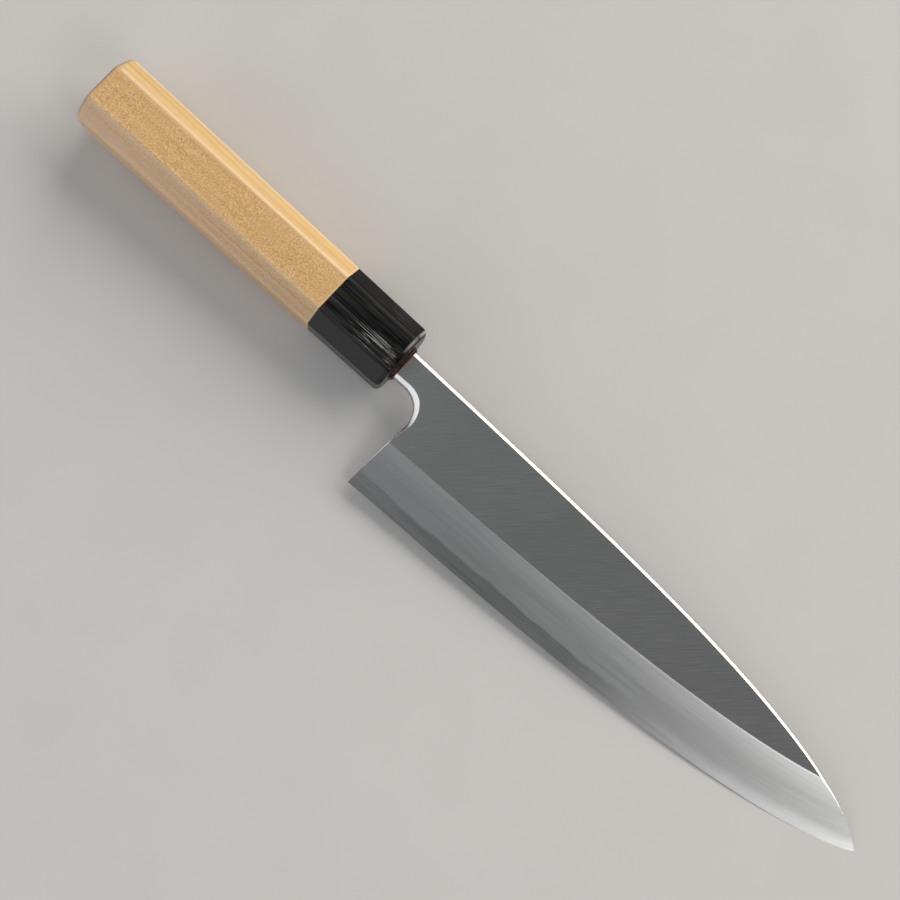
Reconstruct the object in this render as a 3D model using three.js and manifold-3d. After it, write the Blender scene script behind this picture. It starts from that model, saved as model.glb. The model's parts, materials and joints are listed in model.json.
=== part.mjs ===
import * as THREE from 'three';
import { mergeVertices } from 'three/addons/utils/BufferGeometryUtils.js';
import Module from 'manifold-3d';

// A single-bevel kitchen knife with a laminated blade, a horn ferrule and an octagonal wooden handle.
// The knife is drawn straight, in millimetres: X runs along the handle to the point, Y to the spine,
// Z to the bevelled face, from the middle of the ferrule's front. It is then laid down on its back.

// Blade outline
const neckLength = 12.8; // ferrule to the corner of the heel
const bladeLength = 194.4; // heel to point
const heelDepth = 39.4; // handle axis down to the corner of the heel
const pointDepth = 17.6; // handle axis down to the point
const spineRise = 4.85; // handle axis up to the spine
const neckDrop = 5.6; // handle axis down to the underside of the neck
const neckSunk = 4; // how far the neck runs into the ferrule
const spineFall = 0.5; // degrees that the spine falls from the ferrule on
const spineReach = 103.3; // how firmly the spine keeps that line
const spinePointAngle = 40; // degrees that the spine comes down at the point
const spinePointReach = 33;
const heelAngle = 5.6; // degrees that the edge rises from the heel
const heelReach = 13.6;
const edgePointAngle = 27; // degrees that the edge comes up at the point
const edgePointReach = 48;
const pointBlunt = 0.2; // what is taken off the very point

// Blade section
const neckThickness = 5.2;
const pointThickness = 1.8; // the tapered bar's thickness at the point, before the bevel is ground
const bevelWidth = 17.4; // edge to the ridge between bevel and flat
const spineRound = 1.25; // rounding of the spine's upper corner
const spineBackRound = 0.4;
const hollowDepth = 0.45; // hollow ground into the back
const hollowRun = 14; // length over which the hollow deepens, from the heel on
const edgeRim = 1.5; // flat rim left along the edge
const spineRim = 3; // flat rim left along the spine
const spineRoundShare = 0.5; // most of the spine's wall that its upper rounding takes, near the point
const backRoundShare = 0.2;
const edgeRimShare = 0.15; // most of the blade's height that a rim takes, near the point
const spineRimShare = 0.3;

// Finger notch between the ferrule and the heel
const notchRadius = 8.6;
const heelLean = 3.7; // degrees that the back of the heel leans towards the point
const reliefShift = 1.5; // how far the polished rounding of the notch reaches into the blade
const reliefSwell = 0.3; // what the rounding adds to the notch's radius
const reliefDepth = 1.6;

// Hard steel layer on the back
const steelAtHeel = 1.45;
const steelAtPoint = 0.45;
const steelSunk = 2; // how far the layer runs into the ferrule
const weldLine = 0.05;

// Tang, drawn out of the neck
const tangLength = 92;
const tangWidthFront = 8.6;
const tangWidthEnd = 4.6;
const tangThicknessFront = 4.2;
const tangThicknessEnd = 2.6;

// Handle, an octagon that tapers from the butt to the ferrule's front
const ferruleLength = 29.6;
const woodLength = 99.1;
const frontWidth = 23.5;
const frontThickness = 19.9;
const frontChamfer = 5.05; // along each of the two sides that a chamfer cuts
const buttWidth = 25.8;
const buttThickness = 22.5;
const buttChamfer = 6.05;
const facetEase = 0.5; // broken edge between two facets
const buttRound = 2.4;
const buttCrown = 0.7;
const crownInset = 6; // in from the rounding to the flat middle of the crown
const ferruleFrontRound = 1.9;
const tenonDiameter = 15;
const tenonLength = 19;
const glueLine = 0.1; // between glued pieces

// Resin round the neck and the tang
const sealWall = 1.1;
const sealProud = 1.2; // how far the bead stands out of the ferrule
const sealLip = 0.3; // thickness of the bead where it ends on the neck
const beddingWall = 0.9;
const beddingPastTang = 2;

// Lying on a table: how far from the point the edge touches it
const edgeContact = 8;

// Fineness of the round stretches
const bladeSteps = 66;
const crowding = 0.35; // how much closer the blade's stations stand at the point
const hollowSteps = 6;
const roundSteps = 4;
const notchSteps = 14;
const tenonSides = 32;
const halvings = 40; // steps in finding a place on a curve

const overrun = 5; // reach of a cutter past what it cuts
const heelX = neckLength;
const pointX = neckLength + bladeLength;
const backZ = -neckThickness / 2;
const neckMiddleY = (spineRise - neckDrop) / 2;
const neckWidth = spineRise + neckDrop;
const ferruleBackX = -ferruleLength;
const woodFrontX = ferruleBackX - glueLine;
const buttX = ferruleBackX - woodLength;

const wasm = await Module();
wasm.setup();

function solidOf(geometry) {
  const bare = geometry.clone();
  bare.deleteAttribute('normal');
  bare.deleteAttribute('uv');
  const merged = mergeVertices(bare);
  return new wasm.Manifold(new wasm.Mesh({
    numProp: 3,
    vertProperties: new Float32Array(merged.attributes.position.array),
    triVerts: new Uint32Array(merged.index.array),
  }));
}

function geometryOf(solid) {
  const mesh = solid.getMesh();
  const geometry = new THREE.BufferGeometry();
  geometry.setAttribute('position', new THREE.BufferAttribute(mesh.vertProperties, mesh.numProp));
  geometry.setIndex(new THREE.BufferAttribute(mesh.triVerts, 1));
  return geometry;
}

// Skin over a row of like rings, closed by a flat cap at each end. `flatten` gives a ring's own two
// coordinates, in which it runs counterclockwise as seen from the last ring's side.
function loft(rings, flatten) {
  const count = rings[0].length;
  const last = (rings.length - 1) * count;
  const triangles = [];
  for (let i = 0; i + 1 < rings.length; i += 1) {
    for (let j = 0; j < count; j += 1) {
      const a = i * count + j;
      const b = i * count + ((j + 1) % count);
      triangles.push(a, b, a + count);
      triangles.push(b, b + count, a + count);
    }
  }
  for (const [a, b, c] of THREE.ShapeUtils.triangulateShape(rings[0].map(flatten), [])) {
    triangles.push(a, c, b);
  }
  for (const [a, b, c] of THREE.ShapeUtils.triangulateShape(rings.at(-1).map(flatten), [])) {
    triangles.push(last + a, last + b, last + c);
  }
  const geometry = new THREE.BufferGeometry().setFromPoints(rings.flat());
  geometry.setIndex(triangles);
  return geometry;
}

// Skin over sections that stand across X, each a list of [y, z].
function loftAlongX(stations, sectionAt) {
  const rings = stations.map((x) => sectionAt(x).map(([y, z]) => new THREE.Vector3(x, y, z)));
  return loft(rings, (p) => new THREE.Vector2(p.y, p.z));
}

function between(start, end, share) {
  return THREE.MathUtils.lerp(start, end, share);
}

function radians(degrees) {
  return THREE.MathUtils.degToRad(degrees);
}

function rectangle(middleY, width, thickness) {
  const low = middleY - width / 2;
  const high = middleY + width / 2;
  const half = thickness / 2;
  return [[low, -half], [high, -half], [high, half], [low, half]];
}

// A curve that leaves one point and reaches another at given angles, in degrees from X.
function sweep(from, fromAngle, fromReach, to, toAngle, toReach) {
  const axes = new THREE.Vector2();
  const ahead = new THREE.Vector2(fromReach, 0).rotateAround(axes, radians(fromAngle));
  const behind = new THREE.Vector2(-toReach, 0).rotateAround(axes, radians(toAngle));
  return new THREE.CubicBezierCurve(from, from.clone().add(ahead), to.clone().add(behind), to);
}

// Share of a curve at which it stands at a given x, for a curve that only runs forward.
function shareAt(curve, x) {
  let low = 0;
  let high = 1;
  for (let i = 0; i < halvings; i += 1) {
    const middle = (low + high) / 2;
    if (curve.getPoint(middle).x < x) low = middle;
    else high = middle;
  }
  return (low + high) / 2;
}

// Blade

const heel = new THREE.Vector2(heelX, -heelDepth);
const point = new THREE.Vector2(pointX, -pointDepth);
const spineStart = new THREE.Vector2(0, spineRise);
const spineCurve = sweep(spineStart, -spineFall, spineReach, point, -spinePointAngle, spinePointReach);
const edgeCurve = sweep(heel, heelAngle, heelReach, point, edgePointAngle, edgePointReach);

// The bar is forged to a straight taper, so its upper face is one plane.
function barThicknessAt(x) {
  return between(neckThickness, pointThickness, x / pointX);
}

// The hollow in the back starts at the heel and runs out at the point.
function hollowAt(x) {
  const entry = THREE.MathUtils.smoothstep(x, heelX, heelX + hollowRun);
  return hollowDepth * entry * (1 - Math.max(x, 0) / pointX);
}

// Section of the ground blade: edge, hollow back, spine, flat and the ridge of the bevel.
function bladeSection(x) {
  const edgeShare = shareAt(edgeCurve, Math.max(x, heelX));
  const edge = edgeCurve.getPoint(edgeShare).y;
  const spine = spineCurve.getPoint(shareAt(spineCurve, Math.max(x, 0))).y;
  const ridge = edge + bevelWidth / edgeCurve.getTangent(edgeShare).x;
  const bar = barThicknessAt(x);
  const topAt = (y) => backZ + bar * Math.min(1, (y - edge) / (ridge - edge));
  const height = spine - edge;
  const wall = topAt(spine) - backZ;
  const round = Math.min(spineRound, wall * spineRoundShare);
  const backRound = Math.min(spineBackRound, wall * backRoundShare);
  const flatEnd = spine - round;
  const flatStart = Math.min(ridge, flatEnd - round / roundSteps);
  const rimEdge = edge + Math.min(edgeRim, height * edgeRimShare);
  const rimSpine = spine - Math.min(spineRim, height * spineRimShare);

  const ring = [[edge, backZ]];
  for (let i = 0; i <= hollowSteps; i += 1) {
    const share = i / hollowSteps;
    ring.push([between(rimEdge, rimSpine, share), backZ + hollowAt(x) * Math.sin(Math.PI * share)]);
  }
  ring.push([spine - backRound, backZ]);
  ring.push([spine, backZ + backRound]);
  for (let i = 0; i <= roundSteps; i += 1) {
    const turn = (i / roundSteps) * (Math.PI / 2);
    ring.push([flatEnd + round * Math.cos(turn), topAt(flatEnd) - round * (1 - Math.sin(turn))]);
  }
  ring.push([flatStart, topAt(flatStart)]);
  return ring;
}

function bladeStations() {
  const stations = [-neckSunk];
  for (let i = 0; i <= bladeSteps; i += 1) {
    const share = i / bladeSteps;
    stations.push((pointX - pointBlunt) * (share + crowding * share * (1 - share)));
  }
  return stations;
}

// Outline of the finger notch, under the neck, round the bend and down to the heel's corner. A relief above
// 0 moves the bend into the blade, and the heel's corner stays.
function notchRing(relief, z) {
  const lean = radians(heelLean);
  const bendY = -neckDrop - notchRadius;
  const bendX = heelX + Math.tan(lean) * (bendY + heelDepth) - notchRadius / Math.cos(lean);
  const centre = new THREE.Vector2(bendX + reliefShift * relief, bendY);
  const radius = notchRadius + reliefSwell * relief;
  const toHeel = heel.clone().sub(centre);
  const touch = Math.atan2(toHeel.y, toHeel.x) + Math.acos(radius / toHeel.length());
  const back = -neckSunk - overrun;
  const below = -heelDepth - overrun;
  const onBend = (angle) => [centre.x + radius * Math.cos(angle), centre.y + radius * Math.sin(angle)];
  const [touchX, touchY] = onBend(touch);
  const reach = (below - touchY) / (heel.y - touchY);
  const outline = [[back, below], [between(touchX, heel.x, reach), below]];
  for (let i = 0; i <= notchSteps; i += 1) {
    outline.push(onBend(between(touch, Math.PI / 2, i / notchSteps)));
  }
  outline.push([back, centre.y + radius]);
  return outline.map(([x, y]) => new THREE.Vector3(x, y, z));
}

// The notch goes straight through, and flares over its top into a polished rounding.
function notchCutter() {
  const top = backZ + barThicknessAt(heelX);
  const flare = 1 + overrun / reliefDepth;
  const rings = [
    notchRing(0, backZ - overrun),
    notchRing(0, top - reliefDepth),
    notchRing(1, top),
    notchRing(flare, top + overrun),
  ];
  return loft(rings, (p) => new THREE.Vector2(p.x, p.y));
}

// Section of the tang, grown on every side. It keeps its last size past its end.
function tangSection(x, grow) {
  const share = Math.min(1, -x / tangLength);
  const width = between(tangWidthFront, tangWidthEnd, share) + 2 * grow;
  const thickness = between(tangThicknessFront, tangThicknessEnd, share) + 2 * grow;
  return rectangle(neckMiddleY, width, thickness);
}

// Space under the weld, grown upwards and towards the handle by `grow`.
function steelSpace(grow) {
  const weldAt = (x) => backZ + between(steelAtHeel, steelAtPoint, (x - heelX) / bladeLength) + grow;
  const start = -steelSunk - grow;
  const end = pointX + overrun;
  const side = new THREE.Shape();
  side.moveTo(start, backZ - overrun);
  side.lineTo(end, backZ - overrun);
  side.lineTo(end, weldAt(end));
  side.lineTo(start, weldAt(start));
  const depth = heelDepth + spineRise + 2 * overrun;
  const space = new THREE.ExtrudeGeometry(side, { depth, bevelEnabled: false });
  return space.rotateX(Math.PI / 2).translate(0, spineRise + overrun, 0);
}

const groundBlade = solidOf(loftAlongX(bladeStations(), bladeSection)).subtract(solidOf(notchCutter()));
const tangFrontX = -steelSunk - weldLine;
const tang = solidOf(loftAlongX([-tangLength, tangFrontX], (x) => tangSection(x, 0)));
const bladeIron = groundBlade.subtract(solidOf(steelSpace(weldLine))).add(tang);
const edgeSteel = groundBlade.intersect(solidOf(steelSpace(0)));

// Handle

// Octagon of the handle at x, set in on every side, with its corners broken.
function handleSection(x, inset) {
  const share = x / buttX;
  const half = between(frontWidth, buttWidth, share) / 2 - inset;
  const rise = between(frontThickness, buttThickness, share) / 2 - inset;
  const chamfer = between(frontChamfer, buttChamfer, share) - inset * (2 - Math.SQRT2);
  const quarter = [new THREE.Vector2(half, rise - chamfer), new THREE.Vector2(half - chamfer, rise)];
  const mirrored = quarter.map((p) => new THREE.Vector2(-p.x, p.y)).reverse();
  const upper = [...quarter, ...mirrored];
  const corners = [...upper, ...upper.map((p) => p.clone().negate())];
  const ring = [];
  corners.forEach((corner, i) => {
    for (const step of [-1, 1]) {
      const towards = corners.at((i + step) % corners.length).clone().sub(corner);
      ring.push(corner.clone().add(towards.setLength(facetEase)).toArray());
    }
  });
  return ring;
}

// Stations and insets of a rounded end that faces along `facing`, from the full section to the flat.
function roundedEnd(endX, facing, round) {
  const stations = [];
  for (let i = 0; i <= roundSteps; i += 1) {
    const turn = (i / roundSteps) * (Math.PI / 2);
    stations.push([endX - facing * round * (1 - Math.sin(turn)), round * (1 - Math.cos(turn))]);
  }
  return stations;
}

function handleLoft(stations) {
  const rings = stations.map(([x, inset]) => {
    return handleSection(x, inset).map(([y, z]) => new THREE.Vector3(x, y, z));
  });
  return loft(rings, (p) => new THREE.Vector2(p.y, p.z));
}

function tenonCylinder(grow) {
  const radius = tenonDiameter / 2 + grow;
  const cylinder = new THREE.CylinderGeometry(radius, radius, tenonLength + grow + overrun, tenonSides);
  cylinder.rotateZ(Math.PI / 2);
  return cylinder.translate(woodFrontX + (tenonLength + grow - overrun) / 2, 0, 0);
}

// Space that the bedded tang takes in the handle, grown on every side.
function mortise(grow) {
  const end = -tangLength - beddingPastTang - grow;
  return loftAlongX([end, -tangLength, -neckSunk], (x) => tangSection(x, beddingWall + grow));
}

function mouth(grow, endX) {
  const section = rectangle(neckMiddleY, neckWidth + 2 * grow, neckThickness + 2 * grow);
  return loftAlongX([-neckSunk - glueLine, endX], () => section);
}

function horn() {
  const stations = [[ferruleBackX, 0], ...roundedEnd(0, 1, ferruleFrontRound)];
  const block = solidOf(handleLoft(stations));
  const bored = block.subtract(solidOf(tenonCylinder(glueLine)));
  const slotted = bored.subtract(solidOf(mortise(glueLine)));
  return slotted.subtract(solidOf(mouth(sealWall + glueLine, overrun)));
}

function wood() {
  const crown = [buttX - buttCrown, buttRound + crownInset];
  const stations = [crown, ...roundedEnd(buttX, -1, buttRound).reverse(), [woodFrontX, 0]];
  const body = solidOf(handleLoft(stations)).add(solidOf(tenonCylinder(0)));
  return body.subtract(solidOf(mortise(glueLine)));
}

function seal() {
  const proudAt = (x) => (x > 0 ? between(sealWall, sealLip, x / sealProud) : sealWall);
  const bead = loftAlongX([-neckSunk, 0, sealProud], (x) => {
    return rectangle(neckMiddleY, neckWidth + 2 * proudAt(x), neckThickness + 2 * proudAt(x));
  });
  return solidOf(bead).subtract(solidOf(mouth(glueLine, overrun)));
}

function bedding() {
  const hole = loftAlongX([-tangLength - glueLine, 0], (x) => tangSection(x, glueLine));
  const filled = solidOf(mortise(0)).subtract(solidOf(mouth(sealWall + glueLine, overrun)));
  return filled.subtract(solidOf(hole));
}

const finishes = {
  iron: { color: 0x8a8c8e, roughness: 0.42, metalness: 1 },
  steel: { color: 0x7c7f82, roughness: 0.3, metalness: 1 },
  horn: { color: 0x17171a, roughness: 0.4, metalness: 0 },
  wood: { color: 0xcda56e, roughness: 0.6, metalness: 0 },
  seal: { color: 0x5b2a1a, roughness: 0.35, metalness: 0 },
  bedding: { color: 0x4a3524, roughness: 0.7, metalness: 0 },
};

function piece(name, solid, finish) {
  const mesh = new THREE.Mesh(geometryOf(solid), new THREE.MeshStandardMaterial(finish));
  mesh.name = name;
  return mesh;
}

const straightKnife = new THREE.Group();
straightKnife.add(
  piece('blade_iron', bladeIron, finishes.iron),
  piece('edge_steel', edgeSteel, finishes.steel),
  piece('mouth_seal', seal(), finishes.seal),
  piece('tang_bedding', bedding(), finishes.bedding),
  piece('horn_ferrule', horn(), finishes.horn),
  piece('handle_body', wood(), finishes.wood),
);

// Resting place: the table touches the ferrule's lower front corner on the edge's side, and the edge close
// to the point, along the edge's own line there.
function restingUp() {
  const cornerX = -ferruleFrontRound;
  const cornerY = -frontWidth / 2 + frontChamfer;
  const corner = new THREE.Vector3(cornerX, cornerY, -frontThickness / 2);
  const share = shareAt(edgeCurve, pointX - edgeContact);
  const along = edgeCurve.getTangent(share);
  const touch = edgeCurve.getPoint(share);
  const span = new THREE.Vector3(touch.x, touch.y, backZ).sub(corner);
  return span.cross(new THREE.Vector3(along.x, along.y, 0)).normalize();
}

const knife = new THREE.Group();
straightKnife.quaternion.setFromUnitVectors(restingUp(), new THREE.Vector3(0, 0, 1));
knife.add(straightKnife);

const box = new THREE.Box3().setFromObject(knife, true);
const middle = box.getCenter(new THREE.Vector3());
straightKnife.position.set(-middle.x, -middle.y, -box.min.z);

export default knife;
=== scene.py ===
import json
import math

import bmesh
import bpy
import numpy as np
from mathutils import Matrix, Vector
from mathutils.geometry import interpolate_bezier


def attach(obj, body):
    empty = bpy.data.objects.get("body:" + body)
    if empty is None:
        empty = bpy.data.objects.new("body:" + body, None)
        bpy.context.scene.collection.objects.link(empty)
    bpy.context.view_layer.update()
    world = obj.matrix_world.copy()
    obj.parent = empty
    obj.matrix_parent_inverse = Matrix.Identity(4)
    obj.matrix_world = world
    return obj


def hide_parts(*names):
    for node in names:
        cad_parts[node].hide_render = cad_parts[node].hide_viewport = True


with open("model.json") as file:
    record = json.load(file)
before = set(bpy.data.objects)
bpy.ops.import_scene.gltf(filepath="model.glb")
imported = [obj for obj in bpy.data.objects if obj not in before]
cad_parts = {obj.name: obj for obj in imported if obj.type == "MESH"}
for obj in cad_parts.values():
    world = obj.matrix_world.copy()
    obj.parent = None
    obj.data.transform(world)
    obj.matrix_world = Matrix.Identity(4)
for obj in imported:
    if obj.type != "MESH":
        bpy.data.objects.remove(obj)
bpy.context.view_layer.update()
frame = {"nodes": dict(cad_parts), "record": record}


# Blade iron: the soft upper layer of a forged single-bevel blade. It is a bar that tapers to the point,
# ground to a slanting satin on its flat and a lengthwise one on its bevel. The spine and the finger notch
# are rounded and polished, and the tang is drawn out of the neck into the handle.

NECK_LENGTH = 0.0128
BLADE_LENGTH = 0.1944
HEEL_DEPTH = 0.03935
POINT_DEPTH = 0.0176
SPINE_RISE = 0.00485
NECK_DROP = 0.0056
NECK_SUNK = 0.004  # into the ferrule
NECK_THICKNESS = 0.0052
POINT_THICKNESS = 0.0018
POINT_BLUNT = 0.00021
BEVEL_WIDTH = 0.0174
SPINE_ROUND = 0.00125
SPINE_ROUND_SHARE = 0.5  # of the wall, where that is low
NOTCH_RADIUS = 0.0086
HEEL_LEAN = math.radians(3.7)
STEEL_AT_HEEL = 0.00145
STEEL_AT_POINT = 0.00045
WELD_WAVES = ((0.00020, 0.058, 0.4), (0.00014, 0.0235, 1.9), (0.00013, 0.0107, 0.2))  # height, length, phase
TANG_LENGTH = 0.092
TANG_SHOULDER = 0.00009
TANG_WIDTHS = 0.0086, 0.0046  # at the ferrule's front and at its own end
TANG_THICKNESSES = 0.0042, 0.0026

# Slope in degrees and pull of the two curves of the outline, where each starts and at the point.
SPINE_PULLS = (-0.5, 0.1033), (-40, 0.033)
EDGE_PULLS = (5.6, 0.0136), (27, 0.048)
CURVE_POINTS = 800

HEEL_X = NECK_LENGTH
POINT_X = NECK_LENGTH + BLADE_LENGTH
BACK_Z = -NECK_THICKNESS / 2
FULL_SECTION_X = 0.026  # from here on every section of the blade reaches from edge to spine
neck_middle = (SPINE_RISE - NECK_DROP) / 2
neck_half = (SPINE_RISE + NECK_DROP) / 2


def curve_between(start, end, pulls):
    """x and y along a curve between two points, with the slope and pull that it has at each."""
    ahead, behind = (Matrix.Rotation(math.radians(slope), 3, "Z") @ Vector((pull, 0, 0))
                     for slope, pull in pulls)
    points = interpolate_bezier(start, start + ahead, end - behind, end, CURVE_POINTS)
    return np.array(points)[:, :2].T


point = Vector((POINT_X, -POINT_DEPTH, 0))
spine_curve = curve_between(Vector((0, SPINE_RISE, 0)), point, SPINE_PULLS)
edge_curve = curve_between(Vector((HEEL_X, -HEEL_DEPTH, 0)), point, EDGE_PULLS)
edge_slopes = np.gradient(edge_curve[1], edge_curve[0])


def spine_at(x):
    return float(np.interp(x, *spine_curve))


def edge_at(x):
    return float(np.interp(x, *edge_curve))


def ridge_at(x):
    """Where the bevel would meet the flat, also past the point where the spine cuts it off."""
    return edge_at(x) + BEVEL_WIDTH * math.hypot(1, np.interp(x, edge_curve[0], edge_slopes))


def bar_at(x):
    return NECK_THICKNESS + (POINT_THICKNESS - NECK_THICKNESS) * max(x, 0) / POINT_X


def face_z(x, y):
    """Height of the ground face: the bevel up to the ridge, then the flat."""
    edge = edge_at(x)
    return BACK_Z + bar_at(x) * min(1, max(0, (y - edge) / (ridge_at(x) - edge)))


def spine_round_at(x):
    """Width of the spine's rounding, which dies out where the bevel runs up to the spine."""
    wall = face_z(x, spine_at(x)) - BACK_Z
    return min(SPINE_ROUND, SPINE_ROUND_SHARE * wall * (wall / bar_at(x)) ** 2)


def flat_end_at(x):
    return spine_at(x) - spine_round_at(x)


def steel_at(x):
    return STEEL_AT_HEEL + (STEEL_AT_POINT - STEEL_AT_HEEL) * (x - HEEL_X) / BLADE_LENGTH


def weld_at(x):
    """Where the weld comes out on the bevel, a little wavy from the forging."""
    wave = sum(high * math.sin(2 * math.pi * x / long + phase) for high, long, phase in WELD_WAVES)
    share = steel_at(x) / bar_at(x)
    return edge_at(x) + share * (ridge_at(x) - edge_at(x)) + wave


def tang_at(x):
    """Half the width and half the thickness of the tang at x."""
    return [np.interp(-x, (0, TANG_LENGTH), ends) / 2 for ends in (TANG_WIDTHS, TANG_THICKNESSES)]


# The outline from the heel's corner, up the heel, round the bend and along the neck to the spine. Every line
# that runs along the blade starts on it, at its own place and in its own direction into the blade.
STEEL_LINES = 4
BEVEL_LINES = 8
HEEL_LINES = 6
BEND_LINES = 18
NECK_LINES = 4
END_LINES = 5

bend = Vector((0, -NECK_DROP - NOTCH_RADIUS))
bend.x = HEEL_X + math.tan(HEEL_LEAN) * (bend.y + HEEL_DEPTH) - NOTCH_RADIUS / math.cos(HEEL_LEAN)
heel_inward = Vector((math.cos(HEEL_LEAN), -math.sin(HEEL_LEAN)))
heel_top = bend + NOTCH_RADIUS * heel_inward


def on_heel(y):
    return Vector((HEEL_X + math.tan(HEEL_LEAN) * (y + HEEL_DEPTH), y))


outline = []
heights = -HEEL_DEPTH, weld_at(HEEL_X), ridge_at(HEEL_X), heel_top.y
for low, high, count in zip(heights, heights[1:], (STEEL_LINES, BEVEL_LINES, HEEL_LINES)):
    for share in np.linspace(0, 1, count + 1)[:-1]:
        outline.append((on_heel(low + share * (high - low)), heel_inward))
for angle in np.linspace(-HEEL_LEAN, math.pi / 2, BEND_LINES):
    inward = Vector((math.cos(angle), math.sin(angle)))
    outline.append((bend + NOTCH_RADIUS * inward, inward))
for x in np.linspace(bend.x, -NECK_SUNK, NECK_LINES + 1)[1:]:
    outline.append((Vector((x, -NECK_DROP)), Vector((0, 1))))
outline[-1][1].x = 1  # mitred at the neck's end
for y in np.linspace(-NECK_DROP, flat_end_at(0), END_LINES + 1)[1:]:
    outline.append((Vector((-NECK_SUNK, y)), Vector((1, 0))))

WELD_LINE = STEEL_LINES
RIDGE_LINE = WELD_LINE + BEVEL_LINES
BEND_LINE = RIDGE_LINE + HEEL_LINES
LAST_LINE = len(outline) - 1
MITRE_LINE = LAST_LINE - END_LINES
reach = np.cumsum([0] + [(b[0] - a[0]).length for a, b in zip(outline, outline[1:])])
bend_start = reach[BEND_LINE]
bend_end = reach[BEND_LINE + BEND_LINES - 1]
bend_widest = (2 * bend_start + 3 * bend_end) / 5


def for_lines(*values):
    """A value for each line, from the values at some places along the outline."""
    return np.interp(reach, *zip(*values))


# The width of the corner's rounding, and the share of the flat that lies below each line on the blade.
reliefs = for_lines(
    (reach[WELD_LINE], 0), (reach[RIDGE_LINE], 0.0002), (bend_start, 0.0011), (bend_widest, 0.0020),
    (bend_end, 0.0015), (reach[MITRE_LINE], 0.0012), (reach[MITRE_LINE + 1], 0))
flat_shares = for_lines(
    (reach[RIDGE_LINE], 0), (bend_start, 0.15), (bend_end, 0.755), (reach[MITRE_LINE], 0.845),
    (reach[LAST_LINE], 1))

# The polished corner of the spine and the notch: its slope from step to step, in degrees, on the way in from
# the wall, and each step's share of the width.
CORNER_SLOPES = np.radians((78, 60, 46, 39, 36, 34, 33, 32))
CORNER_STEPS = np.array((0.03, 0.05, 0.08, 0.12, 0.18, 0.18, 0.18, 0.18))
NOTCH_STEEPER = 1.15  # than the spine's corner
corner_in = np.cumsum([0, *CORNER_STEPS])
corner_down = np.cumsum([0, *(CORNER_STEPS * np.tan(CORNER_SLOPES))[::-1]])[::-1]

HEEL_STEPS = 10
BLADE_STEPS = 130
CROWDING = 0.4  # how much closer the sections stand at the point


def line_y(line, x):
    """How high a line runs on the ground face, at x past the notch."""
    end = flat_end_at(x)
    weld = min(weld_at(x), end)
    ridge = min(ridge_at(x), end)
    if line <= WELD_LINE:
        return edge_at(x) + (weld - edge_at(x)) * line / WELD_LINE
    if line <= RIDGE_LINE:
        return weld + (ridge - weld) * (line - WELD_LINE) / BEVEL_LINES
    return ridge + (end - ridge) * flat_shares[line]


def line_plan(line, stations, height_at=line_y):
    """x and y of a line, from the outline round its rounding and on to each station."""
    start, inward = outline[line]
    plan = [start + inward * reliefs[line] * share for share in corner_in]
    goal = Vector((FULL_SECTION_X, height_at(line, FULL_SECTION_X)))
    plan += [plan[-1].lerp(goal, i / HEEL_STEPS) for i in range(1, HEEL_STEPS)]
    return plan + [Vector((x, height_at(line, x))) for x in stations]


def stations_to(end):
    shares = np.linspace(0, 1, BLADE_STEPS + 1)
    return FULL_SECTION_X + (end - FULL_SECTION_X) * (shares + CROWDING * shares * (1 - shares))


def on_face(line, stations):
    plan = line_plan(line, stations)
    drops = np.zeros(len(plan))
    drops[:len(corner_down)] = NOTCH_STEEPER * reliefs[line] * corner_down
    return [Vector((x, y, face_z(x, y) - drop)) for (x, y), drop in zip(plan, drops)]


def weld_z(x, y):
    """Height of the weld, which comes out on the bevel and ends at the spine."""
    halfway = (face_z(x, weld_at(x)) + face_z(x, y)) / 2
    return min(BACK_Z + steel_at(x), halfway, face_z(x, y))


def spine_weld_z(x):
    y = spine_at(x)
    return min(weld_z(x, y), face_z(x, y) - spine_round_at(x))


def on_weld(line, stations):
    plan = line_plan(line, stations)
    if line == LAST_LINE:
        return [Vector((x, spine_at(x), spine_weld_z(x))) for x, y in plan]
    return [Vector((x, y, weld_z(x, y))) for x, y in plan]


def on_spine(step, stations):
    """A line on the spine's corner, counted from the wall."""
    points = []
    for x, y in line_plan(LAST_LINE, stations):
        top = face_z(x, y)
        depth = min(spine_round_at(x), top - spine_weld_z(x))
        points.append(Vector((x, spine_at(x) - spine_round_at(x) * corner_in[step],
                              top - depth * corner_down[step])))
    return points


def skin(rings, joined=False):
    """Mesh pulled from ring to ring by extrusion, drawn together at its end unless that joins its start.
    Returns it with its first ring's vertices."""
    shape = bmesh.new()
    first = [shape.verts.new(place) for place in rings[0]]
    edges = [shape.edges.new(pair) for pair in zip(first, first[1:] + first[:1])]
    ring = first
    for places in rings[1:]:
        pulled = bmesh.ops.extrude_edge_only(shape, edges=edges)["geom"]
        fresh = {item for item in pulled if isinstance(item, bmesh.types.BMVert)}
        edges = [item for item in pulled if isinstance(item, bmesh.types.BMEdge)]
        ring = [next(edge.other_vert(old) for edge in old.link_edges if edge.other_vert(old) in fresh)
                for old in ring]
        for vert, place in zip(ring, places):
            vert.co = place
    if not joined:
        bmesh.ops.pointmerge(shape, verts=ring, merge_co=sum(rings[-1], Vector()) / len(ring))
    return shape, first


def close_heel(shape, upper, lower):
    """Wall between the face and the layer under it, all along the outline."""
    for (a, b), (c, d) in zip(zip(upper, upper[1:]), zip(lower, lower[1:])):
        shape.faces.new([a, b, d] if a is c else [a, b, d, c])


MERGE_WITHIN = 2e-6
DISSOLVE_UNDER = 1e-6


def mend(shape):
    bmesh.ops.remove_doubles(shape, verts=shape.verts, dist=MERGE_WITHIN)
    bmesh.ops.dissolve_degenerate(shape, edges=shape.edges, dist=DISSOLVE_UNDER)
    bmesh.ops.recalc_face_normals(shape, faces=shape.faces)


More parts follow.
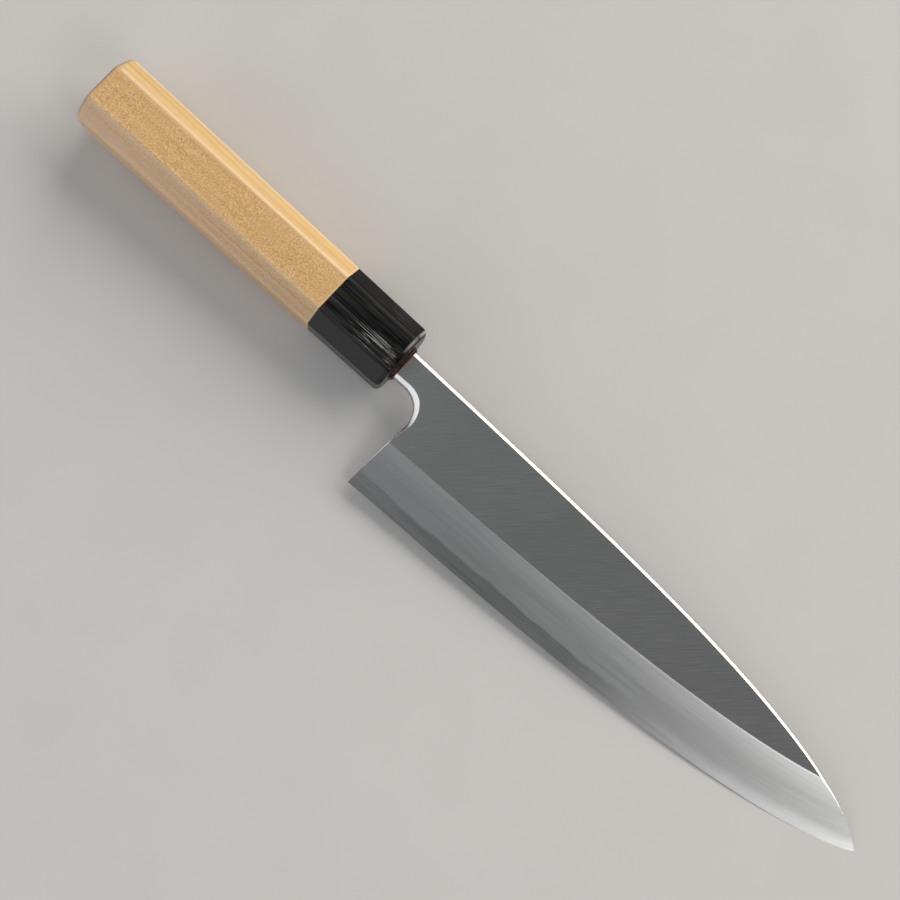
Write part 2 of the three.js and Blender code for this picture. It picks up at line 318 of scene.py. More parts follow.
# The knife is drawn straight, and lies where its two flat mounts are.
FLAT_MOUNT = 0.080, -0.008
GRIP_MOUNT = Vector((-0.080, 0, -0.010758))
SHARP_TURN = math.radians(32)


def axes(along, up):
    side = up.cross(along).normalized()
    return Matrix((along.normalized(), side, along.cross(side).normalized())).transposed()


flat_mount = Vector((*FLAT_MOUNT, face_z(*FLAT_MOUNT)))
flat_normal = Vector(((NECK_THICKNESS - POINT_THICKNESS) / POINT_X, 0, 1)).normalized()
mounts = {mount["name"]: mount for mount in frame["record"]["mounts"]}
flat_place = Vector(mounts["blade_flat"]["pos_m"])
grip_place = Vector(mounts["handle_flat"]["pos_m"])
lying = axes(flat_place - grip_place, Vector(mounts["blade_flat"]["axis"]))
straight = axes(flat_mount - GRIP_MOUNT, flat_normal)
turned = lying @ straight.inverted()
at_rest = Matrix.Translation(flat_place) @ turned.to_4x4() @ Matrix.Translation(-flat_mount)


def lay_down(name, shape, materials):
    """Object from a straight shape. It keeps its straight places for the materials to follow, and its ground
    ones: along the blade, up the bevel and above the weld."""
    straight_layer = shape.verts.layers.float_vector.new("straight")
    ground_layer = shape.verts.layers.float_vector.new("ground")
    for vert in shape.verts:
        x, y = vert.co.xy
        low = edge_at(x)
        vert[straight_layer] = vert.co
        vert[ground_layer] = Vector((x, BEVEL_WIDTH * (y - low) / (ridge_at(x) - low), y - weld_at(x)))
    for face in shape.faces:
        face.smooth = True
    for edge in shape.edges:
        finishes = {face.material_index for face in edge.link_faces}
        edge.smooth = len(finishes) == 1 and edge.calc_face_angle(0) < SHARP_TURN
    shape.transform(at_rest)
    mesh = bpy.data.meshes.new(name)
    shape.to_mesh(mesh)
    shape.free()
    for material in materials:
        mesh.materials.append(material)
    made = bpy.data.objects.new(name, mesh)
    bpy.context.scene.collection.objects.link(made)
    return made


class Socket:
    """An output in a material's nodes. Arithmetic with it adds Math nodes."""

    def __init__(self, tree, output=None):
        self.tree = tree
        self.output = output

    def node(self, kind, settings=None, sockets=None, out=0):
        made = self.tree.nodes.new(kind)
        for name, value in (settings or {}).items():
            if name == "stops":
                while len(made.color_ramp.elements) < len(value):
                    made.color_ramp.elements.new(0.5)
                for element, (place, colour) in zip(made.color_ramp.elements, value):
                    element.position = place
                    element.color = colour
            else:
                setattr(made, name, value)
        for name, value in (sockets or {}).items():
            if isinstance(value, Socket):
                self.tree.links.new(value.output, made.inputs[name])
            else:
                made.inputs[name].default_value = value
        return Socket(self.tree, made.outputs[out])

    def math(self, operation, *values):
        return self.node("ShaderNodeMath", {"operation": operation}, dict(enumerate(values)))

    def size(self):
        return self.math("ABSOLUTE", self)

    def __add__(self, other):
        return self.math("ADD", self, other)

    def __sub__(self, other):
        return self.math("SUBTRACT", self, other)

    def __rsub__(self, other):
        return self.math("SUBTRACT", other, self)

    def __mul__(self, other):
        return self.math("MULTIPLY", self, other)

    def __truediv__(self, other):
        return self.math("DIVIDE", self, other)

    __radd__ = __add__
    __rmul__ = __mul__


def finish(name, **constants):
    """A material with its shader's constant sockets set, and a socket to grow its nodes from."""
    material = bpy.data.materials.new(name)
    material.use_nodes = True
    shader = material.node_tree.nodes["Principled BSDF"]
    for socket, value in constants.items():
        shader.inputs[socket.replace("_", " ")].default_value = value
    return material, shader, Socket(material.node_tree)


def feed(shader, **values):
    for socket, value in values.items():
        value.tree.links.new(value.output, shader.inputs[socket.replace("_", " ")])


def followed(start, layer):
    """Places on the piece, as one of the layers of its mesh keeps them."""
    return start.node("ShaderNodeAttribute", {"attribute_name": layer}, out="Vector")


def along(place, axis):
    return place.node("ShaderNodeSeparateXYZ", None, {"Vector": place}, out=axis)


def noise(place, scale, detail, roughness=0.5, slant=0):
    """Noise with so many waves to the metre along each axis, turned about z by a slant in degrees."""
    if slant:
        place = place.node("ShaderNodeMapping", {"vector_type": "POINT"}, {
            "Vector": place, "Rotation": (0, 0, math.radians(slant))})
    stretched = place.node("ShaderNodeVectorMath", {"operation": "MULTIPLY"}, {0: place, 1: scale})
    return stretched.node("ShaderNodeTexNoise", {"noise_dimensions": "3D"}, {
        "Vector": stretched, "Scale": 1, "Detail": detail, "Roughness": roughness})


NOISE_RANGE = 0.3, 0.7  # where nearly all of a noise lies


def spread(value, low, high, start=0, end=1):
    return value.node("ShaderNodeMapRange", {"clamp": True}, {
        "Value": value, "From Min": low, "From Max": high, "To Min": start, "To Max": end})


def mixed(share, first, second):
    return share.node("ShaderNodeMix", {"data_type": "RGBA"}, {0: share, 6: first, 7: second}, out=2)


def bump(height, strength, distance):
    return height.node("ShaderNodeBump", None, {
        "Height": height, "Strength": strength, "Distance": distance}, out="Normal")


def grey(level, warm=0.0):
    return (level * (1 + warm), level, level * (1 - warm), 1)


# The flat is ground at a slant: short fine lines, in places a coarser one. It is paler toward the neck.
FINE_SLANT = -43
COARSE_SLANT = -44.5
FLAT_DARK = grey(0.382)
FLAT_PALE = grey(0.602)

flat_finish, shader, start = finish("slant_ground_iron", Metallic=1.0)
place = followed(start, "straight")
fine = noise(place, (130, 4200, 60), 2, slant=FINE_SLANT)
coarse = noise(place, (110, 2200, 40), 3, slant=COARSE_SLANT)
cloud = noise(place, (28, 40, 30), 2)
lines = spread(fine, *NOISE_RANGE) * 0.7 + spread(coarse, 0.35, 0.7) * 0.3
x = along(place, "X")
# The flat is paler toward the neck, and darkened just in front of the ferrule: painted shade where the blade
# meets it.
neck_tone_and_shade = spread(x, 0, 0.15, 0.57, 0) + spread(x, 0.012, 0.03, 0.2, 0) - spread(x, 0.001, 0.006, 0.3, 0)
feed(shader,
     Base_Color=mixed(lines * 0.26 + cloud * 0.12 + neck_tone_and_shade, FLAT_DARK, FLAT_PALE),
     Roughness=0.22 + 0.05 * spread(coarse, *NOISE_RANGE) + 0.04 * cloud,
     Normal=bump(lines, 0.05, 0.00002))

# The bevel is worked along the edge on stones, which leaves long fine lines and a soft haze, and rubs it
# brighter toward the ridge. A thin line along the ridge itself is a painted highlight.
BEVEL_DARK = grey(0.515)
BEVEL_PALE = grey(1.0)

bevel_finish, shader, start = finish("long_ground_iron", Metallic=1.0)
place = followed(start, "ground")
fine = noise(place, (45, 5200, 30), 3)
coarse = spread(noise(place, (30, 2100, 20), 3), *NOISE_RANGE)
haze = spread(noise(place, (40, 500, 30), 4), *NOISE_RANGE)
lines = spread(fine, *NOISE_RANGE) * 0.4 + coarse * 0.6
x = along(place, "X")
height = along(place, "Y")
rubbed_and_highlight = spread(height, 0.0099, 0.0165) * spread(x, 0.03, 0.13, 0.7, 1)
# A painted highlight along the ridge.
ridge_highlight = spread(height, 0.0167, 0.0171) * spread(x, 0.05, 0.12)
feed(shader,
     Base_Color=mixed(lines * 0.22 + haze * 0.07 + rubbed_and_highlight * 0.43 + ridge_highlight * 0.5, BEVEL_DARK, BEVEL_PALE),
     Roughness=0.31 + 0.03 * coarse + 0.02 * haze,
     Normal=bump(lines, 0.04, 0.00003))

# The spine and the notch are polished bright, with a trace of the belt's lines.
POLISH_DARK = grey(0.50)
POLISH_PALE = grey(0.62)

polish_finish, shader, start = finish("polished_iron", Metallic=1.0)
belt = noise(followed(start, "straight"), (40, 1200, 1200), 3)
feed(shader,
     Base_Color=mixed(belt, POLISH_DARK, POLISH_PALE),
     Roughness=0.22 + 0.1 * belt,
     Normal=bump(belt, 0.015, 0.00003))

FLAT_TILT = 3  # degrees from the flat's own direction, at most
BEVEL_TILT = 19
ON_NECK_END = 1e-5

steel_stations = stations_to(POINT_X - POINT_BLUNT)
iron_end = min(x for x in steel_stations if weld_at(x) > flat_end_at(x))
iron_stations = [x for x in steel_stations if x <= iron_end]
face_lines = [on_face(line, iron_stations) for line in range(WELD_LINE, LAST_LINE + 1)]
spine_lines = [on_spine(step, iron_stations) for step in reversed(range(len(CORNER_STEPS)))]
weld_lines = [on_weld(line, iron_stations) for line in range(LAST_LINE, WELD_LINE, -1)]
iron, heel_ring = skin([list(ring) for ring in zip(*face_lines, *spine_lines, *weld_lines)])
upper = heel_ring[:len(face_lines)]
lower = [upper[0]] + heel_ring[:-len(weld_lines) - 1:-1]
close_heel(iron, upper, lower)
iron.faces.new([upper[-1], *heel_ring[len(face_lines):len(face_lines) + len(spine_lines)], lower[-1]])
mend(iron)
neck_end = [face for face in iron.faces
            if all(abs(vert.co.x + NECK_SUNK) < ON_NECK_END for vert in face.verts)]
for x in (-NECK_SUNK - TANG_SHOULDER, -TANG_LENGTH):
    drawn = bmesh.ops.extrude_face_region(iron, geom=neck_end)["geom"]
    bmesh.ops.delete(iron, geom=neck_end, context="FACES")
    neck_end = [item for item in drawn if isinstance(item, bmesh.types.BMFace)]
    drawn = [item for item in drawn if isinstance(item, bmesh.types.BMVert)]
    half, rise = tang_at(x)
    low, high = (limit(vert.co.y for vert in drawn) for limit in (min, max))
    bottom, top = (limit(vert.co.z for vert in drawn) for limit in (min, max))
    for vert in drawn:
        vert.co = (x, np.interp(vert.co.y, (low, high), (neck_middle - half, neck_middle + half)),
                   np.interp(vert.co.z, (bottom, top), (-rise, rise)))
bmesh.ops.recalc_face_normals(iron, faces=iron.faces)
for face in iron.faces:
    tilt = math.degrees(face.normal.angle(flat_normal))
    on_bevel = tilt < BEVEL_TILT and face.normal.y < 0
    face.material_index = 0 if tilt < FLAT_TILT else 1 if on_bevel else 2
blade_iron = lay_down("iron_layer", iron, [flat_finish, bevel_finish, polish_finish])
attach(blade_iron, "root")
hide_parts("blade_iron")


# Edge steel: the hard layer, forge-welded under the iron. It shows as a strip along the edge and makes the
# whole back, where a shallow hollow is ground between a flat rim at the edge and one at the spine.

HOLLOW_DEPTH = 0.00045
HOLLOW_RUN = 0.014
EDGE_RIM = 0.0015
SPINE_RIM = 0.003
EDGE_RIM_SHARE = 0.15  # of the blade's height, where that is low
SPINE_RIM_SHARE = 0.3
BACK_ROUND = 0.0004
BACK_ROUND_SHARE = 0.2  # of the wall, where that is low
BACK_EASE = 0.0002


def rims_at(x):
    edge = edge_at(x)
    height = spine_at(x) - edge
    low = edge + min(EDGE_RIM, EDGE_RIM_SHARE * height)
    return low, spine_at(x) - min(SPINE_RIM, SPINE_RIM_SHARE * height)


def back_round_at(x):
    return min(BACK_ROUND, BACK_ROUND_SHARE * (face_z(x, spine_at(x)) - BACK_Z))


# The share of the hollow that lies below each line.
back_shares = for_lines(
    (reach[1], 0), (reach[RIDGE_LINE], 0.41), (bend_start, 0.51), (bend_end, 0.87), (reach[MITRE_LINE], 0.93),
    (reach[LAST_LINE - 1], 1))


def back_y(line, x):
    low, high = rims_at(x)
    if line == LAST_LINE:
        return spine_at(x) - back_round_at(x)
    return low + (high - low) * back_shares[line] if line else edge_at(x)


def back_z(x, y):
    low, high = rims_at(x)
    entry = min(1, max(0, (x - HEEL_X) / HOLLOW_RUN))
    depth = HOLLOW_DEPTH * entry * entry * (3 - 2 * entry) * (1 - x / POINT_X)
    return BACK_Z + depth * math.sin(math.pi * min(1, max(0, (y - low) / (high - low))))


def on_back(line, stations):
    points = [Vector((x, y, back_z(x, y))) for x, y in line_plan(line, stations, back_y)]
    points[0].z += min(BACK_EASE, reliefs[line])
    return points


def on_back_corner(stations):
    plan = line_plan(LAST_LINE, stations, back_y)
    return [Vector((x, spine_at(x), BACK_Z + back_round_at(x))) for x, y in plan]


# The strip is worked on the same stones as the bevel. Toward the point it is brighter, and its line fades.
STEEL_DARK = grey(0.255)
STEEL_PALE = grey(0.955)
STEEL_AT_WELD = grey(0.59)

steel_finish, shader, start = finish("long_ground_steel", Metallic=1.0)
place = followed(start, "ground")
fine = noise(place, (90, 4800, 30), 3)
coarse = noise(place, (40, 2100, 20), 3)
x = along(place, "X")
above_weld = along(place, "Z")
brighter = spread(x, 0.02, 0.055, 0.16, 0.02) + spread(x, 0.1, 0.16, 0.04, 0.7)
lines = spread(fine, *NOISE_RANGE) * 0.07 + spread(coarse, *NOISE_RANGE) * 0.13
merging = spread(above_weld / spread(x, 0.1, 0.16, 0.0006, 0.003), -1, 0)
feed(shader,
     Base_Color=mixed(merging, mixed(lines + brighter, STEEL_DARK, STEEL_PALE), STEEL_AT_WELD),
     Roughness=0.315 + 0.04 * spread(coarse, *NOISE_RANGE),
     Normal=bump(fine * 0.5 + coarse * 0.5, 0.03, 0.00004))

# The wheel's lines stand across the hollow, and the stone's run along it.
WHEEL_SLANT = -86
BACK_DARK = grey(0.45)
BACK_PALE = grey(0.64)

back_finish, shader, start = finish("hollow_ground_steel", Metallic=1.0)
wheel = noise(followed(start, "straight"), (18, 1500, 30), 3, slant=WHEEL_SLANT)
stone = noise(followed(start, "ground"), (9, 1700, 30), 3)
feed(shader,
     Base_Color=mixed(wheel * 0.5 + stone * 0.5, BACK_DARK, BACK_PALE),
     Roughness=0.2 + 0.16 * stone,
     Normal=bump(wheel, 0.1, 0.00004))

FACING = 0.6  # how much of a face's direction is up or down, where it isn't a wall

face_lines = [on_face(line, steel_stations) for line in range(0, WELD_LINE + 1)]
weld_lines = [on_weld(line, steel_stations) for line in range(WELD_LINE + 1, LAST_LINE + 1)]
back_lines = [on_back(line, steel_stations) for line in range(LAST_LINE, 0, -1)]
corner_line = on_back_corner(steel_stations)
steel, heel_ring = skin([list(ring) for ring in zip(*face_lines, *weld_lines, corner_line, *back_lines)])
upper = heel_ring[:LAST_LINE + 1]
lower = [upper[0]] + heel_ring[:LAST_LINE + 1:-1]
close_heel(steel, upper, lower)
steel.faces.new([upper[-1], heel_ring[LAST_LINE + 1], lower[-1]])
mend(steel)
for face in steel.faces:
    x, y = face.calc_center_median().xy
    shown = face.normal.z > FACING and (y < weld_at(x) or x > iron_end)
    face.material_index = 0 if shown else 1 if face.normal.z < -FACING else 2
edge_steel = lay_down("steel_layer", steel, [steel_finish, back_finish, polish_finish])
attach(edge_steel, "root")
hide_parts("edge_steel")


# Horn ferrule: a block of black buffalo horn, cut to the handle's octagon and bored for the tenon and the
# tang. It is scraped lengthwise, polished to a satin, and its front edge is rounded over.

FERRULE_LENGTH = 0.0296
HANDLE_LENGTH = 0.1287
FRONT_WIDTH = 0.0235
FRONT_THICKNESS = 0.0199
FRONT_CHAMFER = 0.00505
BUTT_WIDTH = 0.0258
BUTT_THICKNESS = 0.0225
BUTT_CHAMFER = 0.00605
FACET_EASE = 0.0007
FACET_EASE_SHARE = 0.4  # of a facet, where that is narrow
CORNER_POINTS = 5
CORNER_PULL = 2 / 3
FERRULE_FRONT_ROUND = 0.0019
FRONT_ROUND_RINGS = 7
SEAL_WALL = 0.0011
MOUTH_DEPTH = 0.004
GLUE_LINE = 0.0001
TENON_RADIUS = 0.0075
TENON_LENGTH = 0.019
BEDDING_WALL = 0.0009

wood_front = -FERRULE_LENGTH - GLUE_LINE
tenon_front = wood_front + TENON_LENGTH


def octagon_at(x, inset=0.0, place=None):
    """The handle's section at x with its corners eased, drawn in by an inset, or moved along to a place."""
    share = -x / HANDLE_LENGTH
    half = (FRONT_WIDTH + (BUTT_WIDTH - FRONT_WIDTH) * share) / 2 - inset
    rise = (FRONT_THICKNESS + (BUTT_THICKNESS - FRONT_THICKNESS) * share) / 2 - inset
    chamfer = FRONT_CHAMFER + (BUTT_CHAMFER - FRONT_CHAMFER) * share - (2 - math.sqrt(2)) * inset
    place = x if place is None else place
    quarter = [Vector((place, half, rise - chamfer)), Vector((place, half - chamfer, rise))]
    upper = quarter + [Vector((place, -p.y, p.z)) for p in reversed(quarter)]
    corners = upper + [Vector((place, -p.y, -p.z)) for p in upper]
    ring = []
    for before, corner, after in zip(corners[-1:] + corners, corners, corners[1:] + corners[:1]):
        sides = before - corner, after - corner
        first, last = (corner + side.normalized() * min(FACET_EASE + inset, side.length * FACET_EASE_SHARE)
                       for side in sides)
        ring += interpolate_bezier(first, first.lerp(corner, CORNER_PULL), last.lerp(corner, CORNER_PULL),
                                   last, CORNER_POINTS)
    return ring


def round_at(x, radius):
    """A ring for the tenon, with as many points as the octagon."""
    count = 8 * CORNER_POINTS
    angles = [math.tau * ((i - CORNER_POINTS // 2) / count + 1 / 16) for i in range(count)]
    return [Vector((x, radius * math.cos(angle), radius * math.sin(angle))) for angle in angles]


def slot_at(x, half, rise):
    """The octagon's ring drawn to the corners of a slot round the middle of the neck."""
    return [Vector((x, neck_middle + math.copysign(half, p.y), math.copysign(rise, p.z)))
            for p in octagon_at(0)]


def mortise_at(x):
    half, rise = tang_at(x)
    room = BEDDING_WALL + GLUE_LINE
    return slot_at(x, half + room, rise + room)


def flatten_facets(piece):
    """Facets that shade flat, with the turn of the light kept in their eased edges."""
    modifier = piece.modifiers.new("facets", "WEIGHTED_NORMAL")
    modifier.keep_sharp = True


HORN_BLACK = grey(0.004)
HORN_DARK = grey(0.010)
HORN_REFLECTION_GREY = grey(0.040)
HORN_SHEEN = grey(0.11)
HORN_RIM_HIGHLIGHT = grey(0.5)
HORN_FIBRE_HIGHLIGHT = grey(0.62)

horn_finish, shader, start = finish("black_horn", Specular_IOR_Level=0.10)
place = followed(start, "straight")
x = along(place, "X")
y = along(place, "Y")
streak = noise(place, (22, 900, 900), 4, 0.6)
scratch = noise(place, (60, 3500, 3500), 2)
band = noise(place, (12, 160, 160), 3)
black = mixed(spread(band * 0.5 + streak * 0.5, 0.4, 0.7), HORN_BLACK, HORN_DARK)
# The chamfer on the edge's side is painted paler grey as a painted reflection, and the upper facet has a
# painted sheen in bands.
# A painted reflection on the chamfer on the edge's side.
edge_chamfer_reflection = spread(y, -0.0066, -0.0074)
# A painted sheen in bands on the upper and lower facets.
sheen_bands = spread(y.size(), 0.0072, 0.0062) * spread(band, 0.35, 0.7) * spread(streak, 0.4, 0.65)
plain = mixed(sheen_bands, mixed(edge_chamfer_reflection, black, HORN_REFLECTION_GREY), HORN_SHEEN)
# Fibres run up to the front on the upper facet, closer together on the edge's side, painted pale as a painted
# highlight.
fibre = noise(place, (55, 3300, 3300), 3, 0.6)
patch = noise(place, (110, 330, 330), 2)
there = spread(x, -0.024, -0.006) * spread(x, -0.0012, -0.0026)
there = there * spread(y, -0.0063, -0.0055) * spread(y, 0.0006, -0.0018, 0.07, 1)
fibre_highlight = spread(fibre, 0.55, 0.63) * spread(patch, 0.42, 0.56) * there
# The front's rounding has a painted highlight in patches on the spine's side.
rim_highlight = spread(x, -0.0016, -0.0011) * spread(x, -0.0003, -0.0008)
rim_highlight = rim_highlight * spread(y, 0.0005, 0.004) * spread(patch, 0.3, 0.5)
feed(shader,
     Base_Color=mixed(fibre_highlight, mixed(rim_highlight * 0.6, plain, HORN_RIM_HIGHLIGHT), HORN_FIBRE_HIGHLIGHT),
     Roughness=0.15 + 0.16 * spread(streak, *NOISE_RANGE),
     Normal=bump(streak * 0.6 + scratch * 0.4, 0.2, 0.0001))

bore = TENON_RADIUS + GLUE_LINE
mouth = neck_half + SEAL_WALL, NECK_THICKNESS / 2 + SEAL_WALL
rings = [round_at(-FERRULE_LENGTH, bore), octagon_at(-FERRULE_LENGTH)]
for angle in np.radians(np.linspace(0, 90, FRONT_ROUND_RINGS)):
    rings.append(octagon_at(-FERRULE_FRONT_ROUND * (1 - math.sin(angle)),
                            FERRULE_FRONT_ROUND * (1 - math.cos(angle))))
rings += [slot_at(0, *mouth), slot_at(-MOUTH_DEPTH, *mouth), mortise_at(-MOUTH_DEPTH),
          mortise_at(tenon_front + GLUE_LINE), round_at(tenon_front + GLUE_LINE, bore)]
horn = skin(rings + rings[:1], joined=True)[0]
mend(horn)
horn_ferrule = lay_down("ferrule", horn, [horn_finish])
flatten_facets(horn_ferrule)
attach(horn_ferrule, "root")
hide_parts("horn_ferrule")


# Handle: a single block of pale, fine-grained wood, planed to an octagon that swells to the butt, with its
# edges sanded soft and its butt slightly crowned. It is glued into the ferrule.

BEDDING_PAST_TANG = 0.002
BUTT_ROUND = 0.0024
BUTT_TURN = math.radians(80)  # how far the rounding turns before the crown takes over
BUTT_RINGS = 8
CROWN_INSET = 0.008
CROWN_RINGS = 5
FRONT_EASE = 0.0004

WOOD_DARK = 0.54, 0.305, 0.112, 1
WOOD_MIDDLE = 0.75, 0.465, 0.20, 1
WOOD_PALE = 0.88, 0.61, 0.32, 1
SPINE_SIDE_LIGHT_AT_BUTT = 0.57, 0.385, 0.138, 1
SPINE_SIDE_LIGHT_AT_FRONT = 0.70, 0.475, 0.175, 1
EDGE_SIDE_SHEEN_AT_BUTT = 0.71, 0.485, 0.345, 1
EDGE_SIDE_SHADE_AT_FRONT = 0.50, 0.325, 0.228, 1
PORE_BROWN = 0.38, 0.20, 0.07, 1
HIGHLIGHT_PALE = 0.95, 0.80, 0.58, 1
GROWTH_DARK = 0.28, 0.15, 0.06, 1
GROWTH_PALE = 0.47, 0.28, 0.125, 1
GROWTH_SLANT = 4
FLECK_SLANT = 10

wood_finish, shader, start = finish("pale_wood", Specular_IOR_Level=0.5)
place = followed(start, "straight")
x = along(place, "X")
y = along(place, "Y")
z = along(place, "Z")
# The flecks show on the facets that lie flush with the growth rings, the long streaks on those that cut them.
upper_facet = spread(y.size(), 0.0066, 0.0050, 0.3, 1)
flush = upper_facet + spread(y, -0.0050, -0.0066)
cut = (1.2 - upper_facet) * 2.2
fleck = noise(place, (1700, 3900, 3900), 2, 0.65, slant=FLECK_SLANT)
streak = noise(place, (9, 800, 800), 4, 0.55)
band = noise(place, (5, 130, 130), 3)
pore = noise(place, (240, 3600, 3600), 1)
grain = 0.5 + (fleck - 0.5) * flush * 2.7 + (streak - 0.5) * cut + (band - 0.5) * 0.4
wood_colour = grain.node("ShaderNodeValToRGB", {
    "stops": ((0.1, WOOD_DARK), (0.5, WOOD_MIDDLE), (0.9, WOOD_PALE))}, {"Fac": grain})
# Painted light on the chamfers: honey on the spine's side for the warm key, browner shade on the edge's side,
# most at the front.
spine_side_light = mixed(spread(x, -0.12, -0.04), SPINE_SIDE_LIGHT_AT_BUTT, SPINE_SIDE_LIGHT_AT_FRONT)
with_spine_side_light = mixed(spread(y, 0.0062, 0.0072) * 0.5, wood_colour, spine_side_light)
# Toward the butt the edge's chamfer is paler and greyer instead: a painted sheen.
edge_side_sheen_and_shade = mixed(spread(x, -0.11, -0.035), EDGE_SIDE_SHEEN_AT_BUTT, EDGE_SIDE_SHADE_AT_FRONT)
with_painted_chamfer_light = mixed(spread(y, -0.0062, -0.0072) * spread(band, *NOISE_RANGE, 0.3, 0.9), with_spine_side_light, edge_side_sheen_and_shade)
aged = mixed(spread(pore, 0.60, 0.75) * 0.3, with_painted_chamfer_light, PORE_BROWN)


def off_arris(x, across, at_front, at_butt):
    """How far a place is from the edge between two facets, measured across the handle."""
    return (across.size() - at_front + (at_butt - at_front) / HANDLE_LENGTH * x).size()


# The edges between the facets and round the front carry a painted highlight, the spine's side more.
upper_edge = off_arris(x, y, FRONT_WIDTH / 2 - FRONT_CHAMFER, BUTT_WIDTH / 2 - BUTT_CHAMFER)
side_edge = off_arris(x, z, FRONT_THICKNESS / 2 - FRONT_CHAMFER, BUTT_THICKNESS / 2 - BUTT_CHAMFER)
nearest_edge = upper_edge.math("MINIMUM", upper_edge, side_edge)
from_butt = x + HANDLE_LENGTH
rubbed_and_highlight = spread(nearest_edge, 0.0010, 0.0001) * spread(y, -0.002, 0.004, 0.2, 0.42)
rubbed_and_highlight = rubbed_and_highlight * spread(from_butt, 0.0021, 0.0032)
front_highlight = spread(x, wood_front - 0.0006, wood_front - 0.0003)
with_highlights = mixed(rubbed_and_highlight + 0.9 * front_highlight, aged, HIGHLIGHT_PALE)
# The growth rings lie flat in the block, and show as lines across the end grain.
end_grain = spread(from_butt, 0.0016, 0.0006)
growth = noise(place, (0, 90, 950), 3, slant=GROWTH_SLANT)
growth_rings = mixed(spread(growth, 0.35, 0.65), GROWTH_DARK, GROWTH_PALE)
feed(shader,
     Base_Color=mixed(end_grain * 0.85, with_highlights, growth_rings),
     Roughness=0.4 + 0.15 * spread(fleck, *NOISE_RANGE),
     Normal=bump(fleck * 0.5 + pore * 0.5, 0.12, 0.00008))

mortise_end = -TANG_LENGTH - BEDDING_PAST_TANG - GLUE_LINE
rings = [mortise_at(mortise_end), mortise_at(-TANG_LENGTH), mortise_at(tenon_front),
         round_at(tenon_front, TENON_RADIUS), round_at(wood_front, TENON_RADIUS),
         octagon_at(wood_front, FRONT_EASE), octagon_at(wood_front - FRONT_EASE),
         octagon_at(BUTT_ROUND - HANDLE_LENGTH)]
for angle in np.linspace(0, BUTT_TURN, BUTT_RINGS + 1)[1:]:
    inset = BUTT_ROUND * (1 - math.cos(angle))
    butt_x = BUTT_ROUND * (1 - math.sin(angle)) - HANDLE_LENGTH
    rings.append(octagon_at(-HANDLE_LENGTH, inset, butt_x))
for share in np.linspace(0, 1, CROWN_RINGS + 1)[1:]:
    crown = CROWN_INSET * (share - share * share / 2) / math.tan(BUTT_TURN)
    rings.append(octagon_at(-HANDLE_LENGTH, inset + CROWN_INSET * share, butt_x - crown))
wood, mortise_ring = skin(rings)
wood.faces.new(mortise_ring)
mend(wood)
handle_body = lay_down("handle", wood, [wood_finish])
flatten_facets(handle_body)
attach(handle_body, "root")
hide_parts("handle_body")


# Mouth seal: resin that was run in round the hot tang and set as a low bead where the blade leaves the
# ferrule.

SEAL_PROUD = 0.0012
SEAL_BITE = 0.0001  # into the neck
NECK_EASE = 0.0006
NECK_EASE_GROWTH = 0.4
RESIN_DARK = 0.014, 0.005, 0.004, 1
RESIN_RED = 0.065, 0.021, 0.013, 1

resin_finish, shader, start = finish("mouth_resin", Coat_Weight=0.08, Specular_IOR_Level=0.15)
cloud = noise(followed(start, "straight"), (500, 500, 500), 3)
feed(shader,
     Base_Color=mixed(spread(cloud, *NOISE_RANGE), RESIN_DARK, RESIN_RED),
     Roughness=0.22 + 0.25 * cloud,
     Normal=bump(cloud, 0.3, 0.0002))


def neck_loop(x, grow):
    """Eight points round the neck at x, grown on every side, with the corners taken off."""
    half = neck_half + grow
    rise = NECK_THICKNESS / 2 + grow
    ease = NECK_EASE + NECK_EASE_GROWTH * grow
    quarter = [Vector((x, half, rise - ease)), Vector((x, half - ease, rise))]
    upper = quarter + [Vector((x, -p.y, p.z)) for p in reversed(quarter)]
    middle = Vector((0, neck_middle, 0))
    return [p + middle for p in upper] + [Vector((x, -p.y, -p.z)) + middle for p in upper]


loops = [neck_loop(-MOUTH_DEPTH, SEAL_WALL), neck_loop(0, SEAL_WALL),
         neck_loop(0.6 * SEAL_PROUD, 0.8 * SEAL_WALL), neck_loop(SEAL_PROUD, 0.4 * SEAL_WALL),
         neck_loop(SEAL_PROUD, -SEAL_BITE), neck_loop(-MOUTH_DEPTH, -SEAL_BITE)]
seal = skin(loops + loops[:1], joined=True)[0]
mend(seal)
mouth_seal = lay_down("mouth_bead", seal, [resin_finish])
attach(mouth_seal, "root")
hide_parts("mouth_seal")


# Tang bedding: resin run in round the tang inside the handle, where it sets and holds the blade. It is dull,
# with small bubbles in it, and the handle hides it.

BEDDING_DARK = 0.045, 0.022, 0.010, 1
BEDDING_PALE = 0.105, 0.055, 0.026, 1


def own_place(start):
    return start.node("ShaderNodeTexCoord", out="Object")


bedding_finish, shader, start = finish("bedding_resin")
bubbles = noise(own_place(start), (900, 900, 900), 3)
feed(shader,
     Base_Color=mixed(spread(bubbles, 0.35, 0.65), BEDDING_DARK, BEDDING_PALE),
     Roughness=0.55 + 0.25 * bubbles,
     Normal=bump(bubbles, 0.3, 0.0002))
bedding = frame["nodes"]["tang_bedding"]
bedding.data.materials.clear()
bedding.data.materials.append(bedding_finish)


# Studio: a pale floor, a warm key from the spine's side, a cooler fill from the edge's side, and a soft box
# over the point.

FLOOR_SIZE = 8.0
FLOOR_DARK = grey(0.60, 0.01)
FLOOR_PALE = grey(0.64, 0.01)
STUDIO_GREY = 0.205, 0.21, 0.215, 1

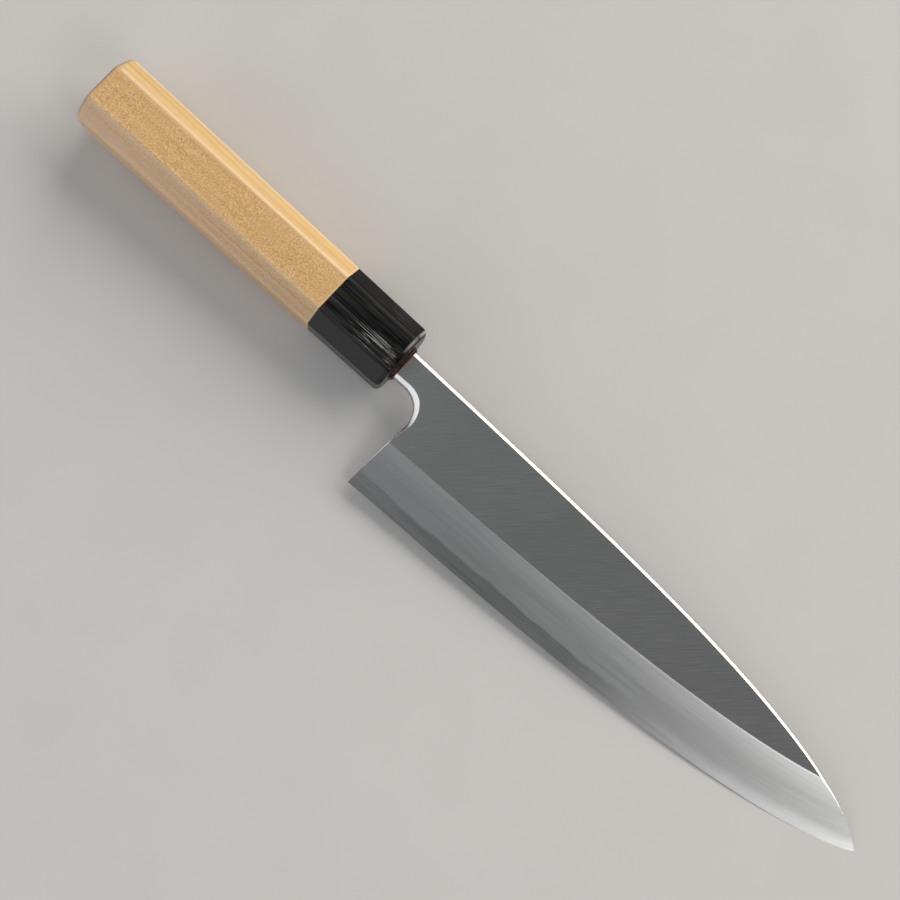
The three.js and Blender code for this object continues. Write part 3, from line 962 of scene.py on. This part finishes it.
floor_finish, shader, start = finish("pale_floor", Roughness=0.75, Specular_IOR_Level=0.2)
mottle = noise(own_place(start), (30, 30, 30), 3)
feed(shader, Base_Color=mixed(mottle, FLOOR_DARK, FLOOR_PALE))
floor_shape = bmesh.new()
bmesh.ops.create_grid(floor_shape, x_segments=1, y_segments=1, size=FLOOR_SIZE)
floor_mesh = bpy.data.meshes.new("floor")
floor_shape.to_mesh(floor_mesh)
floor_shape.free()
floor_mesh.materials.append(floor_finish)
floor = bpy.data.objects.new("floor", floor_mesh)
bpy.context.scene.collection.objects.link(floor)


def soft_box(name, place, aim, width, height, power, colour):
    light = bpy.data.lights.new(name, "AREA")
    light.shape = "RECTANGLE"
    light.size = width
    light.size_y = height
    light.energy = power
    light.color = colour
    lamp = bpy.data.objects.new(name, light)
    lamp.location = place
    lamp.rotation_euler = (Vector(aim) - Vector(place)).to_track_quat("-Z", "Y").to_euler()
    bpy.context.scene.collection.objects.link(lamp)


soft_box("key", place=(0.4, 2.4, 1.4), aim=(0, 0, 0), width=4.0, height=2.2,
         power=100, colour=(1.0, 0.94, 0.86))
soft_box("fill", place=(-1.85, -1.82, 1.0), aim=(0, 0, 0), width=7.0, height=1.9,
         power=56, colour=(0.95, 0.975, 1.0))
soft_box("over_point", place=(0.85, -0.3, 1.0), aim=(0.12, 0, 0), width=0.45, height=0.45,
         power=2.4, colour=(1.0, 0.99, 0.97))

world = bpy.data.worlds.new("studio")
world.use_nodes = True
world.node_tree.nodes["Background"].inputs["Color"].default_value = STUDIO_GREY
bpy.context.scene.world = world
bpy.context.scene.view_settings.view_transform = "Standard"

# The camera stands over the blade's edge side, and the knife runs from the upper left to the lower right.
CAMERA_PLACE = Vector((0.0522, -0.09767, 0.62132))
CAMERA_AIM = Vector((0.02969, -0.01044, 0))
PICTURE_UP = Vector((-0.67186, 0.73759, 0))
SENSOR_WIDTH = 36
LENS = 80

ahead = (CAMERA_AIM - CAMERA_PLACE).normalized()
right = ahead.cross(PICTURE_UP).normalized()
facing = Matrix((right, right.cross(ahead), -ahead)).transposed()
camera = bpy.data.objects.new("camera", bpy.data.cameras.new("camera"))
camera.data.sensor_width = SENSOR_WIDTH
camera.data.lens = LENS
camera.matrix_world = at_rest @ Matrix.LocRotScale(CAMERA_PLACE, facing, None)
bpy.context.scene.collection.objects.link(camera)
bpy.context.scene.camera = camera
